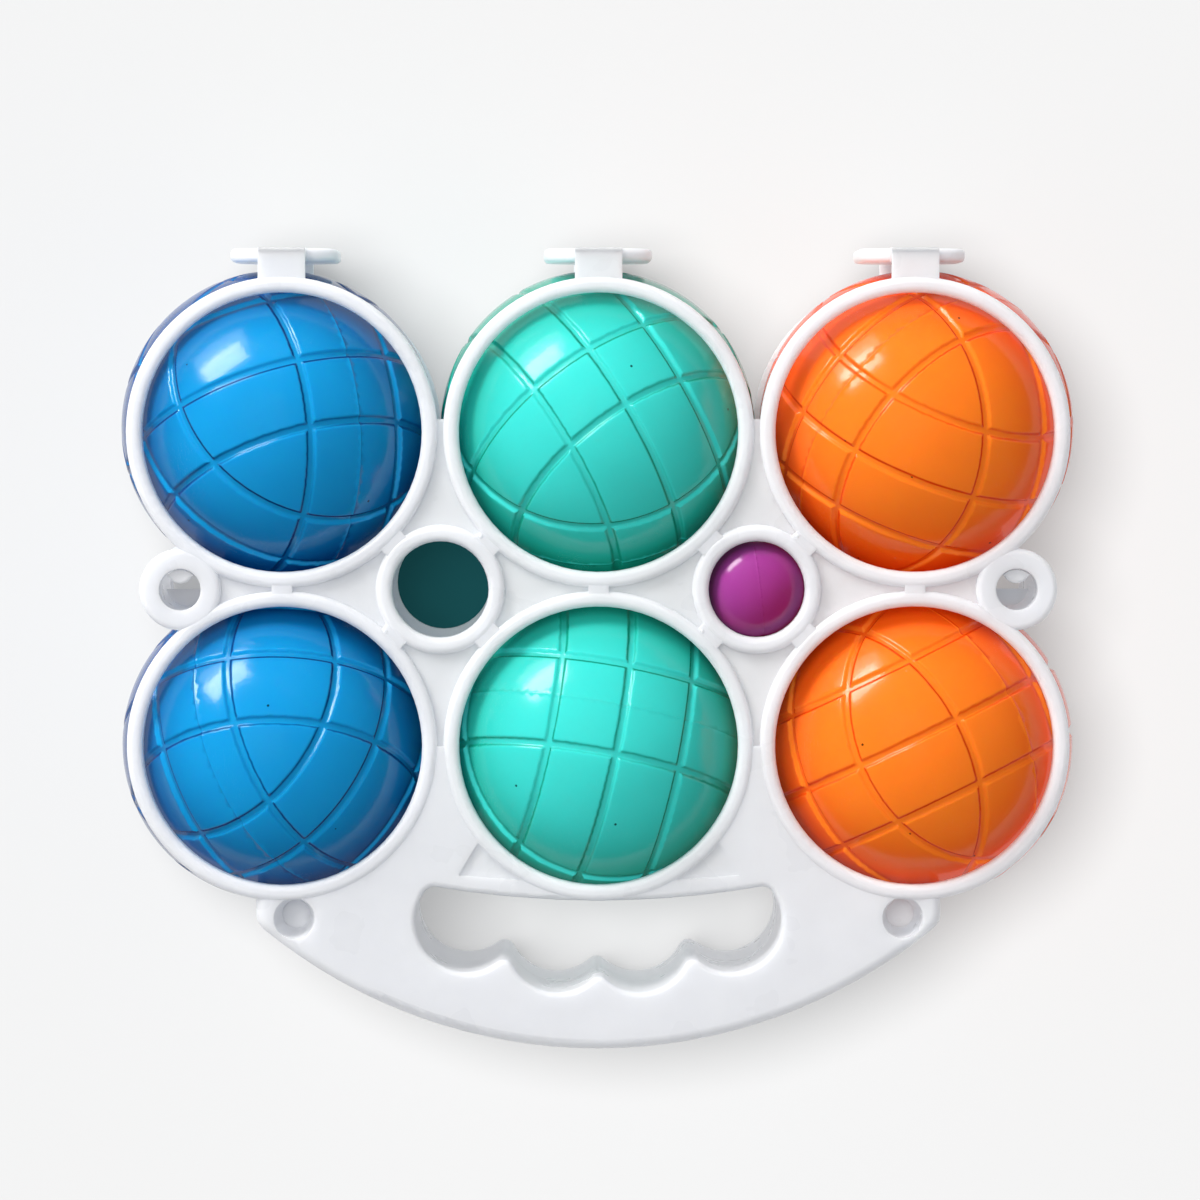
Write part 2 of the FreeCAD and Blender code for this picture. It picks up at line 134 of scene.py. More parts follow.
class Edit:
    """Small helpers for modelling with operators on one object at a time."""

    @staticmethod
    def clear_selection() -> None:
        """Deselect everything, the loaded CAD nodes included."""
        if bpy.context.object and bpy.context.object.mode != "OBJECT":
            bpy.ops.object.mode_set(mode="OBJECT")
        bpy.ops.object.select_all(action="DESELECT")

    @staticmethod
    def focus(piece: bpy.types.Object) -> None:
        """Make a piece the only selected object and the active one.

        Args:
            piece: The object that the next operators act on.
        """
        Edit.clear_selection()
        piece.select_set(True)
        bpy.context.view_layer.objects.active = piece

    @staticmethod
    def adopt(name: str) -> bpy.types.Object:
        """Name the object that was just added and put its place into its mesh.

        Args:
            name: The piece's name.

        Returns:
            The piece, with its object at the origin.
        """
        piece = bpy.context.object
        piece.name = name
        piece.data.name = name
        bpy.ops.object.transform_apply(location=True, rotation=True, scale=True)
        return piece

    @staticmethod
    def bisect(piece: bpy.types.Object, planes: list[tuple[Vector, Vector]]) -> None:
        """Cut new edges through a whole mesh along some planes.

        Args:
            piece: The mesh to cut.
            planes: A point and a normal for each plane.
        """
        Edit.focus(piece)
        bpy.ops.object.mode_set(mode="EDIT")
        for point, normal in planes:
            bpy.ops.mesh.select_all(action="SELECT")
            bpy.ops.mesh.bisect(plane_co=point, plane_no=normal, threshold=1e-7)
        bpy.ops.object.mode_set(mode="OBJECT")

    @staticmethod
    def displace(piece: bpy.types.Object, weights: np.ndarray, reach: float, name: str) -> None:
        """Move a piece's points along their normals by a weight each, with an applied modifier.

        Args:
            piece: The mesh to shape.
            weights: One value from 0 to 1 for each point.
            reach: How far a point of weight 1 moves, in metres; negative is inwards.
            name: The vertex group that holds the weights.
        """
        group = piece.vertex_groups.new(name=name)
        for index in np.nonzero(weights > 1e-4)[0]:
            group.add([int(index)], float(weights[index]), "REPLACE")
        modifier = piece.modifiers.new(name, "DISPLACE")
        modifier.vertex_group = name
        modifier.direction = "NORMAL"
        modifier.mid_level = 0.0
        modifier.strength = reach
        Edit.focus(piece)
        bpy.ops.object.modifier_apply(modifier=modifier.name)

    @staticmethod
    def ball(
        name: str, centre: Vector, radius: float, planes: list[tuple[Vector, Vector]]
    ) -> tuple[bpy.types.Object, np.ndarray]:
        """Model a plain ball whose mesh has edges along some planes.

        Args:
            name: The piece's name.
            centre: The ball's centre.
            radius: The ball's radius, in metres.
            planes: A point and a normal for each plane.

        Returns:
            The piece, and the unit direction of each of its points from the centre.
        """
        Edit.clear_selection()
        bpy.ops.mesh.primitive_ico_sphere_add(
            subdivisions=BALL_LEVELS, radius=radius, location=centre
        )
        piece = Edit.adopt(name)
        Edit.bisect(piece, planes)
        away = np.array([vertex.co for vertex in piece.data.vertices]) - np.array(centre)
        unit = away / np.linalg.norm(away, axis=1, keepdims=True)
        for vertex, direction in zip(piece.data.vertices, unit):
            vertex.co = centre + Vector(direction) * radius
        return piece, unit

    @staticmethod
    def smooth(piece: bpy.types.Object) -> None:
        """Shade a piece smooth.

        Args:
            piece: The finished mesh.
        """
        Edit.focus(piece)
        bpy.ops.object.shade_smooth()


class Wiring:
    """Short ways to place and link the nodes of one shader tree."""

    def __init__(self, tree: bpy.types.NodeTree) -> None:
        """Keep the tree's nodes and links at hand.

        Args:
            tree: The tree to work in.
        """
        self.nodes = tree.nodes
        self.links = tree.links

    def maths(self, operation: str, *values: Socket | float) -> Socket:
        """Add a maths node.

        Args:
            operation: What it does.
            values: Its inputs in order, each a socket or a number.

        Returns:
            Its result.
        """
        node = self.nodes.new("ShaderNodeMath")
        node.operation = operation
        for index, value in enumerate(values):
            if isinstance(value, float):
                node.inputs[index].default_value = value
            else:
                self.links.new(value, node.inputs[index])
        return node.outputs[0]

    def span(
        self, value: Socket, start: float, end: float,
        low: float = 0.0, high: float = 1.0, smooth: bool = True,
    ) -> Socket:
        """Turn one range of values into another, held at its ends.

        Args:
            value: What to turn.
            start: The value that gives the low result.
            end: The value that gives the high result.
            low: The low result.
            high: The high result.
            smooth: Whether the ends are eased.

        Returns:
            The result.
        """
        node = self.nodes.new("ShaderNodeMapRange")
        node.interpolation_type = "SMOOTHSTEP" if smooth else "LINEAR"
        node.inputs["From Min"].default_value = start
        node.inputs["From Max"].default_value = end
        node.inputs["To Min"].default_value = low
        node.inputs["To Max"].default_value = high
        self.links.new(value, node.inputs["Value"])
        return node.outputs["Result"]

    def blend(self, factor: Socket, first: Socket | Colour, second: Socket | Colour) -> Socket:
        """Mix two colours.

        Args:
            factor: Share of the second one.
            first: A socket or a fixed colour.
            second: A socket or a fixed colour.

        Returns:
            The mixed colour.
        """
        node = self.nodes.new("ShaderNodeMix")
        node.data_type = "RGBA"
        self.links.new(factor, node.inputs["Factor"])
        for label, value in (("A", first), ("B", second)):
            if isinstance(value, tuple):
                node.inputs[label].default_value = (*value, 1.0)
            else:
                self.links.new(value, node.inputs[label])
        return node.outputs["Result"]

    def noise(self, place: Socket, scale: Socket, detail: float) -> Socket:
        """Add a noise texture.

        Args:
            place: Where it is read.
            scale: How fine it is.
            detail: How many finer layers it has.

        Returns:
            Its value, from 0 to 1.
        """
        texture = self.nodes.new("ShaderNodeTexNoise")
        texture.inputs["Detail"].default_value = detail
        self.links.new(scale, texture.inputs["Scale"])
        self.links.new(place, texture.inputs["Vector"])
        return texture.outputs["Fac"]


class SkinEffect:
    """Shader group for the skin of a moulded plastic: ripples, fine peel, scratches and specks."""

    NAME = "MouldedSkin"
    INPUTS = (
        ("Ripple Scale", 60.0),
        ("Ripple Height", 0.5),
        ("Peel Scale", 900.0),
        ("Peel Height", 0.1),
        ("Scratch Scale", 90.0),
        ("Scratch Amount", 0.3),
        ("Speck Scale", 260.0),
        ("Speck Size", 0.05),
    )
    OUTPUTS = ("Height", "Scratch", "Speck", "Tone")
    SCRATCH_LEAN = (0.4, 0.3, 0.7)
    SCRATCH_STRETCH = (14.0, 0.8, 14.0)
    SCRATCH_HALF_WIDTH = 0.012
    SCRATCH_DEPTH = 0.25
    MIDDLE = 0.5
    WORN_FROM = 0.52
    WORN_TO = 0.66
    SPECK_FREE_SHARE = 0.93

    @classmethod
    def group(cls) -> bpy.types.NodeTree:
        """The shared group, built on first use.

        Returns:
            The node group.
        """
        if cls.NAME in bpy.data.node_groups:
            return bpy.data.node_groups[cls.NAME]
        tree = bpy.data.node_groups.new(cls.NAME, "ShaderNodeTree")
        sockets = tree.interface
        for label, default in cls.INPUTS:
            socket = sockets.new_socket(label, in_out="INPUT", socket_type="NodeSocketFloat")
            socket.default_value = default
        for label in cls.OUTPUTS:
            sockets.new_socket(label, in_out="OUTPUT", socket_type="NodeSocketFloat")
        cls._wire(tree)
        return tree

    @classmethod
    def _wire(cls, tree: bpy.types.NodeTree) -> None:
        """Place and link the group's nodes.

        Args:
            tree: The empty group with its sockets.
        """
        wiring = Wiring(tree)
        given = wiring.nodes.new("NodeGroupInput").outputs
        result = wiring.nodes.new("NodeGroupOutput").inputs
        place = wiring.nodes.new("ShaderNodeTexCoord").outputs["Object"]

        ripple = wiring.noise(place, given["Ripple Scale"], detail=1.0)
        peel = wiring.noise(place, given["Peel Scale"], detail=2.0)
        ripple_height = wiring.maths("MULTIPLY", ripple, given["Ripple Height"])
        peel_height = wiring.maths("MULTIPLY", peel, given["Peel Height"])
        height = wiring.maths("ADD", ripple_height, peel_height)

        scratch = cls._scratches(wiring, place, given)
        groove = wiring.maths("MULTIPLY", scratch, cls.SCRATCH_DEPTH)
        wiring.links.new(wiring.maths("SUBTRACT", height, groove), result["Height"])
        wiring.links.new(scratch, result["Scratch"])

        cells = wiring.nodes.new("ShaderNodeTexVoronoi")
        wiring.links.new(place, cells.inputs["Vector"])
        wiring.links.new(given["Speck Scale"], cells.inputs["Scale"])
        near = wiring.maths("LESS_THAN", cells.outputs["Distance"], given["Speck Size"])
        lot = wiring.nodes.new("ShaderNodeSeparateColor")
        wiring.links.new(cells.outputs["Color"], lot.inputs["Color"])
        drawn = wiring.maths("GREATER_THAN", lot.outputs["Red"], cls.SPECK_FREE_SHARE)
        wiring.links.new(wiring.maths("MULTIPLY", near, drawn), result["Speck"])

        tone = wiring.noise(place, given["Ripple Scale"], detail=3.0)
        wiring.links.new(tone, result["Tone"])

    @classmethod
    def _scratches(
        cls, wiring: Wiring, place: Socket, given: bpy.types.bpy_prop_collection
    ) -> Socket:
        """Thin lines on the worn patches of the skin.

        Args:
            wiring: The group's wiring.
            place: Where the skin is read.
            given: The group's inputs.

        Returns:
            How scratched the skin is.
        """
        lean = wiring.nodes.new("ShaderNodeMapping")
        lean.inputs["Rotation"].default_value = cls.SCRATCH_LEAN
        lean.inputs["Scale"].default_value = cls.SCRATCH_STRETCH
        wiring.links.new(place, lean.inputs["Vector"])
        strands = wiring.noise(lean.outputs["Vector"], given["Scratch Scale"], detail=3.0)
        ridge = wiring.maths("ABSOLUTE", wiring.maths("SUBTRACT", strands, cls.MIDDLE))
        line = wiring.span(ridge, cls.SCRATCH_HALF_WIDTH, 0.0)
        patch = wiring.noise(place, given["Ripple Scale"], detail=2.0)
        worn = wiring.span(patch, cls.WORN_FROM, cls.WORN_TO)
        return wiring.maths("MULTIPLY", wiring.maths("MULTIPLY", line, worn), given["Scratch Amount"])


@dataclass(frozen=True)
class MouldedPlastic:
    """Finish of one moulded plastic.

    Args:
        name: The material's name.
        tone: Its base colour.
        roughness: Roughness of the clean skin.
        coat: Weight of the clear upper gloss.
        specular: Level of the plain reflection.
        ripple: Ripple height in the bump.
        peel: Peel height in the bump.
        scratch: How strong the fine scratches are.
        speck_size: Size of the dark specks, as a share of their cells.
        glow: Subsurface weight of a milky plastic.
        depth: How deep light goes into a milky plastic, in metres.
        rim_shade_tone: Painted rim shade: a darker tone blended in where the surface turns away from
            the view, standing in for shade and bounce light, if any.
        painted_glow: Painted glow: how strongly the plastic's own colour is emitted, lifting the
            parts in shade as if they were lit.
    """

    name: str
    tone: PlasticTone
    roughness: float = 0.16
    coat: float = 0.14
    specular: float = 0.32
    ripple: float = 0.6
    peel: float = 0.05
    scratch: float = 0.35
    speck_size: float = 0.05
    glow: float = 0.0
    depth: float = 0.002
    rim_shade_tone: PlasticTone | None = None
    painted_glow: float = 0.0

    TONE_SPREAD: ClassVar[tuple[float, float]] = (0.93, 1.06)
    ROUGHNESS_SPREAD: ClassVar[tuple[float, float]] = (0.8, 1.25)
    # Facing range and weight of the painted rim shade.
    RIM_SHADE_FROM: ClassVar[float] = 0.08
    RIM_SHADE_TO: ClassVar[float] = 0.60
    RIM_SHADE_WEIGHT: ClassVar[float] = 0.85
    SPECK_TONE: ClassVar[float] = 0.12
    SCRATCH_ROUGHNESS: ClassVar[float] = 0.35
    BUMP_STRENGTH: ClassVar[float] = 0.35
    BUMP_HEIGHT: ClassVar[float] = 0.6 * MM
    REFRACTION: ClassVar[float] = 1.49
    COAT_ROUGHNESS: ClassVar[float] = 0.06
    GLOW_CONTRAST: ClassVar[float] = 1.5

    def material(self) -> bpy.types.Material:
        """The finish as a node material, made on first use.

        Returns:
            The material.
        """
        if self.name in bpy.data.materials:
            return bpy.data.materials[self.name]
        made = bpy.data.materials.new(self.name)
        made.use_nodes = True
        wiring = Wiring(made.node_tree)
        shader = wiring.nodes["Principled BSDF"]
        skin = wiring.nodes.new("ShaderNodeGroup")
        skin.node_tree = SkinEffect.group()
        skin.inputs["Ripple Height"].default_value = self.ripple
        skin.inputs["Peel Height"].default_value = self.peel
        skin.inputs["Scratch Amount"].default_value = self.scratch
        skin.inputs["Speck Size"].default_value = self.speck_size

        surface = self._surface(wiring, skin)
        wiring.links.new(surface, shader.inputs["Base Color"])
        wiring.links.new(surface, shader.inputs["Emission Color"])
        # Painted glow: the skin colour is emitted too, so parts in shade look lit without a lamp.
        shader.inputs["Emission Strength"].default_value = self.painted_glow

        least, most = [self.roughness * share for share in self.ROUGHNESS_SPREAD]
        clean = wiring.span(skin.outputs["Tone"], 0.0, 1.0, least, most, smooth=False)
        scratched = skin.outputs["Scratch"]
        rough = wiring.maths("MULTIPLY_ADD", scratched, self.SCRATCH_ROUGHNESS, clean)
        wiring.links.new(rough, shader.inputs["Roughness"])

        bump = wiring.nodes.new("ShaderNodeBump")
        bump.inputs["Strength"].default_value = self.BUMP_STRENGTH
        bump.inputs["Distance"].default_value = self.BUMP_HEIGHT
        wiring.links.new(skin.outputs["Height"], bump.inputs["Height"])
        wiring.links.new(bump.outputs["Normal"], shader.inputs["Normal"])

        shader.inputs["IOR"].default_value = self.REFRACTION
        shader.inputs["Specular IOR Level"].default_value = self.specular
        shader.inputs["Coat Weight"].default_value = self.coat
        shader.inputs["Coat Roughness"].default_value = self.COAT_ROUGHNESS
        if self.glow > 0.0:
            colour = self.tone.value
            reach = [(part / max(colour)) ** self.GLOW_CONTRAST for part in colour]
            shader.inputs["Subsurface Weight"].default_value = self.glow
            shader.inputs["Subsurface Radius"].default_value = reach
            shader.inputs["Subsurface Scale"].default_value = self.depth
        return made

    def _surface(self, wiring: Wiring, skin: bpy.types.Node) -> Socket:
        """Colour of the skin, with its slow drift, its painted rim shade and its specks.

        Args:
            wiring: The material's wiring.
            skin: The skin group.

        Returns:
            The colour.
        """
        colour = self.tone.value
        darker, lighter = self.TONE_SPREAD
        dark = tuple(part * darker for part in colour)
        light = tuple(min(1.0, part * lighter) for part in colour)
        plain = wiring.blend(skin.outputs["Tone"], dark, light)
        # Painted rim shade: where the surface turns away from the view, the colour is blended towards
        # a darker tone in place of shade and bounce light.
        facing = wiring.nodes.new("ShaderNodeLayerWeight").outputs["Facing"]
        weight = self.RIM_SHADE_WEIGHT if self.rim_shade_tone else 0.0
        rim_shade_mask = wiring.span(facing, self.RIM_SHADE_FROM, self.RIM_SHADE_TO, high=weight)
        deep = wiring.blend(rim_shade_mask, plain, (self.rim_shade_tone or self.tone).value)
        speck = tuple(part * self.SPECK_TONE for part in colour)
        return wiring.blend(skin.outputs["Speck"], deep, speck)

    def dress(self, piece: bpy.types.Object) -> None:
        """Give a piece this finish in all its slots.

        Args:
            piece: The object to dress.
        """
        if not piece.data.materials:
            piece.data.materials.append(self.material())
        for index in range(len(piece.material_slots)):
            piece.material_slots[index].material = self.material()


CARRIER = MouldedPlastic(
    "carrier_polypropylene", PlasticTone.CARRIER_WHITE, roughness=0.28, coat=0.1, ripple=0.35,
    peel=0.04, scratch=0.0, speck_size=0.0, glow=0.8, depth=0.007, painted_glow=0.11,
)
BLUE = MouldedPlastic(
    "blue_ball_plastic", PlasticTone.BLUE, peel=0.09, speck_size=0.08, glow=0.3, depth=0.005,
    rim_shade_tone=PlasticTone.BLUE_RIM_SHADE, painted_glow=0.04,
)
TEAL = MouldedPlastic(
    "teal_ball_plastic", PlasticTone.TEAL, peel=0.09, speck_size=0.08, glow=0.3, depth=0.005,
    rim_shade_tone=PlasticTone.TEAL_RIM_SHADE, painted_glow=0.04,
)
ORANGE = MouldedPlastic(
    "orange_ball_plastic", PlasticTone.ORANGE, peel=0.09, speck_size=0.08, glow=0.3, depth=0.005,
    rim_shade_tone=PlasticTone.ORANGE_RIM_SHADE, painted_glow=0.05,
)
PURPLE = MouldedPlastic(
    "purple_jack_plastic", PlasticTone.PURPLE, roughness=0.11, peel=0.09, glow=0.2, depth=0.003,
    rim_shade_tone=PlasticTone.PURPLE_RIM_SHADE,
)
WATER = MouldedPlastic("water_filling", PlasticTone.WATER, roughness=0.1, ripple=0.1, scratch=0.0)


@dataclass(frozen=True)
class GrooveProfile:
    """Cross-section of one groove, as distances from its middle line, in metres.

    Args:
        lip: Half width at the skin.
        shoulder: Half width half way down.
        floor: Half width of the flat floor.
        depth: Depth of the floor under the skin.
    """

    lip: float = 1.45 * MM
    shoulder: float = 0.85 * MM
    floor: float = 0.3 * MM
    depth: float = 0.85 * MM

    def share(self, distance: np.ndarray) -> np.ndarray:
        """How deep the groove is at some distances, from 0 at the skin to 1 on the floor.

        Args:
            distance: Distances from the groove's middle line.

        Returns:
            The share of the full depth at each.
        """
        return ease(np.clip((self.lip - distance) / (self.lip - self.floor), 0.0, 1.0))


@dataclass
class GroovedBall:
    """A hollow plastic ball with three crossing families of grooves and a parting line.

    Args:
        stem: First part of the names of its CAD nodes, and its body's name.
        finish: Its plastic.
        finish_slot: The record's material slot; not used.
        turn: How the ball lies in its ring, in degrees about X, Y and Z.
        bands: Latitude of each groove of the three families, in degrees.
        seam_family: Which family the parting line belongs to.
        seam_at: Latitude of the parting line, in degrees.
        profile: Cross-section of its grooves.
        seam_half_width: Half the parting line's width, in metres.
        seam_height: How far the parting line stands out.
        recess_radius: Radius of the round recess that the filler plug's head sits in.
        recess_gap: Width of the recess's wall as seen from outside.
        recess_depth: How deep the recess is.
        recess_land: Width of the plain land round the recess.
        land_fade: How far the grooves take to fade in past that land.
        slope_step: Distance over which the skin's slope is measured.
    """

    stem: str
    finish: MouldedPlastic
    finish_slot: str
    turn: tuple[float, float, float]
    bands: tuple[tuple[float, ...], ...]
    seam_family: int = 0
    seam_at: float = 0.0
    profile: GrooveProfile = field(default_factory=GrooveProfile)
    seam_half_width: float = 0.16 * MM
    seam_height: float = 0.09 * MM
    recess_radius: float = 4.7 * MM
    recess_gap: float = 0.1 * MM
    recess_depth: float = 1.75 * MM
    recess_land: float = 2.2 * MM
    land_fade: float = 1.0 * MM
    slope_step: float = 0.04 * MM

    def __post_init__(self) -> None:
        """Work out the ball's place and size from its CAD node, and its groove axes."""
        low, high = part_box(self.stem + "_shell")
        self.centre = (low + high) / 2.0
        self.radius = max(high - low) / 2.0
        turned = Euler([math.radians(angle) for angle in self.turn], "XYZ").to_matrix()
        self.axes = [turned.col[index].normalized() for index in range(3)]
        plug_low, plug_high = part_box(self.stem + "_plug")
        self.plug_axis = ((plug_low + plug_high) / 2.0 - self.centre).normalized()

    def _planes(self) -> list[tuple[Vector, Vector]]:
        """Planes that cut the edges of the grooves, the parting line and the filler recess.

        Returns:
            A point and a normal for each plane.
        """
        planes = []
        for axis, bands in zip(self.axes, self.bands):
            for band in bands:
                for reach in (self.profile.lip, self.profile.shoulder, self.profile.floor):
                    planes.append(self._plane(axis, band, -reach))
                    planes.append(self._plane(axis, band, reach))
        for reach in (-self.seam_half_width, 0.0, self.seam_half_width):
            planes.append(self._plane(self.axes[self.seam_family], self.seam_at, reach))
        for rim in (self.recess_radius, self.recess_radius - self.recess_gap):
            height = math.sqrt(self.radius**2 - rim**2)
            planes.append((self.centre + self.plug_axis * height, self.plug_axis))
        return planes

    def _plane(self, axis: Vector, band: float, reach: float) -> tuple[Vector, Vector]:
        """The plane that cuts the ball along one circle.

        Args:
            axis: The circle's axis.
            band: Latitude of the groove or line beside it, in degrees.
            reach: Distance from that latitude along the skin, in metres.

        Returns:
            A point and a normal.
        """
        angle = math.radians(band) + reach / self.radius
        return self.centre + axis * self.radius * math.sin(angle), axis

    def _groove_share(self, unit: np.ndarray) -> np.ndarray:
        """Depth of the grooves in some directions from the ball's centre.

        Args:
            unit: Unit directions, one a row.

        Returns:
            The share of the full depth, 0 on the skin and 1 on a groove's floor.
        """
        share = np.zeros(len(unit))
        for axis, bands in zip(self.axes, self.bands):
            here = latitude(unit, axis)
            for band in bands:
                away = np.abs(here - math.radians(band)) * self.radius
                share = np.maximum(share, self.profile.share(away))
        land = angle_from(unit, self.plug_axis) * self.radius - self.recess_radius
        return share * ease(np.clip((land - self.recess_land) / self.land_fade, 0.0, 1.0))

    def _seam_share(self, unit: np.ndarray) -> np.ndarray:
        """Height of the parting line in some directions from the ball's centre.

        Args:
            unit: Unit directions, one a row.

        Returns:
            The share of the full height, 0 beside the line and 1 on it.
        """
        here = latitude(unit, self.axes[self.seam_family])
        away = np.abs(here - math.radians(self.seam_at)) * self.radius
        return np.clip(1.0 - away / self.seam_half_width, 0.0, 1.0)

    def _height(self, unit: np.ndarray) -> np.ndarray:
        """Height of the skin over the plain ball in some directions.

        Args:
            unit: Unit directions, one a row.

        Returns:
            The heights in metres.
        """
        grooves = self._groove_share(unit)
        seam = self._seam_share(unit)
        return self.seam_height * seam - self.profile.depth * grooves

    def _smooth_normals(self, piece: bpy.types.Object, unit: np.ndarray) -> None:
        """Set each point's normal from the skin's true slope.

        Args:
            piece: The ball.
            unit: Direction of each of its points from the centre.
        """
        step = self.slope_step / self.radius
        helper = np.where(np.abs(unit[:, :1]) < 0.8, [[1.0, 0.0, 0.0]], [[0.0, 1.0, 0.0]])
        first = np.cross(unit, helper)
        first /= np.linalg.norm(first, axis=1, keepdims=True)
        second = np.cross(unit, first)
        normal = unit.copy()
        for tangent in (first, second):
            ahead = unit + tangent * step
            behind = unit - tangent * step
            ahead /= np.linalg.norm(ahead, axis=1, keepdims=True)
            behind /= np.linalg.norm(behind, axis=1, keepdims=True)
            slope = (self._height(ahead) - self._height(behind)) / (2.0 * step * self.radius)
            normal -= tangent * slope[:, None]
        normal /= np.linalg.norm(normal, axis=1, keepdims=True)
        piece.data.normals_split_custom_set_from_vertices([tuple(row) for row in normal])

    def build(self) -> bpy.types.Object:
        """Model the ball's shell.

        Returns:
            The finished piece.
        """
        name = self.stem + "_skin"
        piece, unit = Edit.ball(name, self.centre, self.radius, self._planes())
        Edit.displace(piece, self._groove_share(unit), -self.profile.depth, "grooves")
        Edit.displace(piece, self._seam_share(unit), self.seam_height, "parting_line")
        inside = angle_from(unit, self.plug_axis) * self.radius
        floor = (inside < self.recess_radius - 0.5 * self.recess_gap).astype(float)
        Edit.displace(piece, floor, -self.recess_depth, "filler_recess")
        Edit.smooth(piece)
        self._smooth_normals(piece, unit)
        return piece

    def dress(self) -> None:
        """Build the ball, give its pieces their finish and tie the new skin to the CAD body."""
        piece = self.build()
        self.finish.dress(piece)
        self.finish.dress(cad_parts[self.stem + "_plug"])
        WATER.dress(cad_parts[self.stem + "_filling"])
        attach(piece, self.stem)
        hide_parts(self.stem + "_shell")
        LOG.info("%s: %d faces", piece.name, len(piece.data.polygons))


@dataclass
class Jack:
    """The small plain target ball, with a parting line and a gate mark.

    Args:
        finish: Its plastic.
        seam_axis: Axis of the parting line's circle.
        seam_half_width: Half the parting line's width, in metres.
        seam_height: How far the parting line stands out.
        gate_axis: Rough direction of the gate mark, which is then moved onto the parting line.
        gate_radius: Radius of the gate mark.
        gate_depth: How deep the gate mark is.
        gate_slope: Width of the gate mark's sloping rim, as a share of its radius.
    """

    finish: MouldedPlastic = PURPLE
    seam_axis: tuple[float, float, float] = (1.0, 0.12, -0.05)
    seam_half_width: float = 0.14 * MM
    seam_height: float = 0.07 * MM
    gate_axis: tuple[float, float, float] = (-0.12, -0.78, 0.62)
    gate_radius: float = 1.1 * MM
    gate_depth: float = 0.25 * MM
    gate_slope: float = 0.2

    def build(self) -> bpy.types.Object:
        """Model the jack.

        Returns:
            The finished piece.
        """
        low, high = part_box("jack")
        centre = (low + high) / 2.0
        radius = max(high - low) / 2.0
        seam_axis = Vector(self.seam_axis).normalized()
        gate_axis = Vector(self.gate_axis).normalized()
        gate_axis = (gate_axis - seam_axis * gate_axis.dot(seam_axis)).normalized()
        planes = []
        for reach in (-self.seam_half_width, 0.0, self.seam_half_width):
            planes.append((centre + seam_axis * reach, seam_axis))
        for rim in (self.gate_radius, (1.0 - self.gate_slope) * self.gate_radius):
            planes.append((centre + gate_axis * math.sqrt(radius**2 - rim**2), gate_axis))
        piece, unit = Edit.ball("jack_skin", centre, radius, planes)
        beside = np.abs(unit @ np.array(seam_axis)) * radius
        seam = np.clip(1.0 - beside / self.seam_half_width, 0.0, 1.0)
        Edit.displace(piece, seam, self.seam_height, "parting_line")
        away = angle_from(unit, gate_axis) * radius
        slope = self.gate_slope * self.gate_radius
        gate = np.clip((self.gate_radius - away) / slope, 0.0, 1.0)
        Edit.displace(piece, gate, -self.gate_depth, "gate_mark")
        Edit.smooth(piece)
        return piece

    def dress(self) -> bpy.types.Object:
        """Build the jack, give it its finish and tie it to its CAD body.

        Returns:
            The finished piece.
        """
        piece = self.build()
        self.finish.dress(piece)
        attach(piece, "jack")
        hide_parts("jack")
        LOG.info("%s: %d faces", piece.name, len(piece.data.polygons))
        return piece


@dataclass
class Carrier:
    """The two white shells, their foot plates, hinge films and latch tongues.

    Args:
        finish: Their plastic.
        nodes: Names of their CAD nodes.
    """

    finish: MouldedPlastic = CARRIER
    nodes: tuple[str, ...] = (
        "front_shell", "back_shell", "foot_left", "foot_middle", "foot_right",
        "hinge_films_front", "hinge_films_back", "latch_tongue_left", "latch_tongue_right",
    )

    def dress(self) -> None:
        """Give each carried-over CAD node the white plastic."""
        for name in self.nodes:
            self.finish.dress(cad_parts[name])
            LOG.info("%s dressed", name)


@dataclass(frozen=True)
class Softbox:
    """One rectangular studio light.

    Args:
        name: The light's name.
        direction: From the set to the light.
        distance: How far away it is, in metres.
        size: Width and height in metres.
        watts: Its power.
        mirrored: Whether shiny surfaces mirror it.
        aim: Point that it faces.
        colour: Its colour.
    """

    name: str
    direction: tuple[float, float, float]
    distance: float
    size: tuple[float, float]
    watts: float
    mirrored: bool = False
    aim: tuple[float, float, float] = (0.0, 0.01, 0.06)
    colour: tuple[float, float, float] = (1.0, 1.0, 1.0)


LIGHTS = (
    Softbox("window_top", (-0.59, 0.69, 0.42), 1.6, (0.80, 0.45), 16.2, True),
    Softbox("window_low", (-0.56, 0.73, 0.24), 1.6, (0.90, 0.45), 4.3, True),
    Softbox("side_fill", (-0.56, 0.66, 0.50), 1.6, (1.0, 0.9), 6.5),
)
JACK_LIGHTS = (
    Softbox("jack_bounce", (0.72, -0.52, 0.45), 0.5, (0.2, 0.2), 1.3,
            aim=(0.037, 0.014, 0.06), colour=(1.0, 0.02, 0.02)),
    Softbox("jack_sky", (-0.42, 0.36, 0.83), 0.5, (0.2, 0.2), 0.75,
            aim=(0.037, 0.014, 0.06), colour=(0.72, 0.70, 1.0)),
)


@dataclass(frozen=True)
class SkyLight:
    """One far light from above.

    Args:
        name: The light's name.
        direction: From the set to the light.
        strength: Its watts on a square metre.
        spread: How wide it is, in degrees.
    """

    name: str
    direction: tuple[float, float, float]
    strength: float
    spread: float


